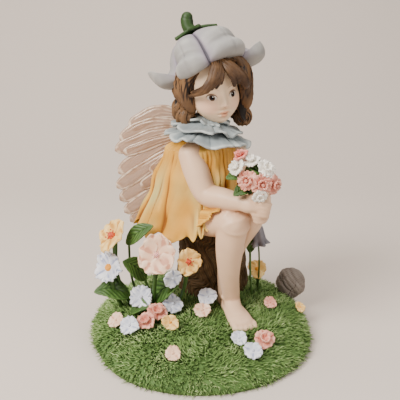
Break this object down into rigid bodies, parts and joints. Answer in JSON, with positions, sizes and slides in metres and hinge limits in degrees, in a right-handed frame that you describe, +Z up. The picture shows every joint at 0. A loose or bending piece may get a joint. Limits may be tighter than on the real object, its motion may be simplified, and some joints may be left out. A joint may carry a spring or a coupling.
{
  "type": "fairy figurine",
  "caption": "Painted winged girl in a petal dress and an upturned bellflower hat, seated on a tree stump on a round grassy base with flowers, holding a bouquet.",
  "frame": {"origin": "centre of the oval base, on its flat underside", "axes": "+Z up, +X to the right of a viewer who stands on the -Y side, in front of the seated girl"},
  "size_m": [0.1104, 0.1166, 0.1534],
  "materials": {
    "grass": "matt painted resin, green washed into carved grass",
    "bark": "matt painted resin, dark brown with dry-brushed ridges",
    "stone": "matt painted resin, grey brown with dark cracks",
    "hat": "matt painted resin, pale grey with lilac seams",
    "girl": "satin painted resin: skin, ochre dress, grey-blue collar and brown hair",
    "wing": "milky moulded resin with raised veins and a pearly glitter",
    "yellow": "satin painted resin, yellow with a red heart",
    "pink": "satin painted resin, pink",
    "pale_pink": "satin painted resin, pale pink",
    "lilac_white": "satin painted resin, white with a blue-lilac wash",
    "rose_red": "satin painted resin, rose red",
    "white": "satin painted resin, creamy white",
    "bellflower": "satin painted resin, grey lilac",
    "leaf": "satin painted resin, leaf green"
  },
  "bodies": {
    "root": {"ground": "grass", "stump": "bark", "stone": "stone", "bellflower_hat": "hat", "hat_calyx": "leaf", "girl": "girl", "right_wing": "wing", "left_wing": "wing", "tall_yellow_flower": "yellow", "large_pink_flower": "pale_pink", "yellow_flower_by_stump": "yellow", "drooping_blue_flower": "lilac_white", "large_lilac_daisy": "lilac_white", "front_daisy": "lilac_white", "tilted_blue_flower": "lilac_white", "pink_bloom_left": "pink", "pink_bloom_right": "pink", "yellow_bloom": "yellow", "blue_bloom_left": "lilac_white", "pale_bloom_left": "pale_pink", "blue_flower_by_foot": "lilac_white", "pale_bloom_by_foot": "pale_pink", "yellow_flower_behind": "yellow", "small_pink_bloom": "pink", "small_yellow_bloom": "yellow", "pink_bloom_by_toes": "pink", "blue_bloom_front": "lilac_white", "blue_bloom_by_toes": "lilac_white", "pale_bloom_front": "pale_pink", "top_leaf": "leaf", "middle_leaf": "leaf", "left_low_leaf": "leaf", "right_low_leaf": "leaf", "dark_front_leaf": "leaf", "leaf_behind_knee": "leaf", "bellflower_behind_knee": "bellflower", "bouquet_greens": "leaf", "bouquet_rose": "rose_red", "bouquet_white_left": "white", "bouquet_white_top": "white", "bouquet_white_right": "white", "bouquet_white_low": "white", "bouquet_pink_left": "pink", "bouquet_pink_middle": "pink", "bouquet_pink_right": "pink", "bouquet_leaf_upper": "leaf", "bouquet_leaf_lower": "leaf"}
  },
  "joints": []
}
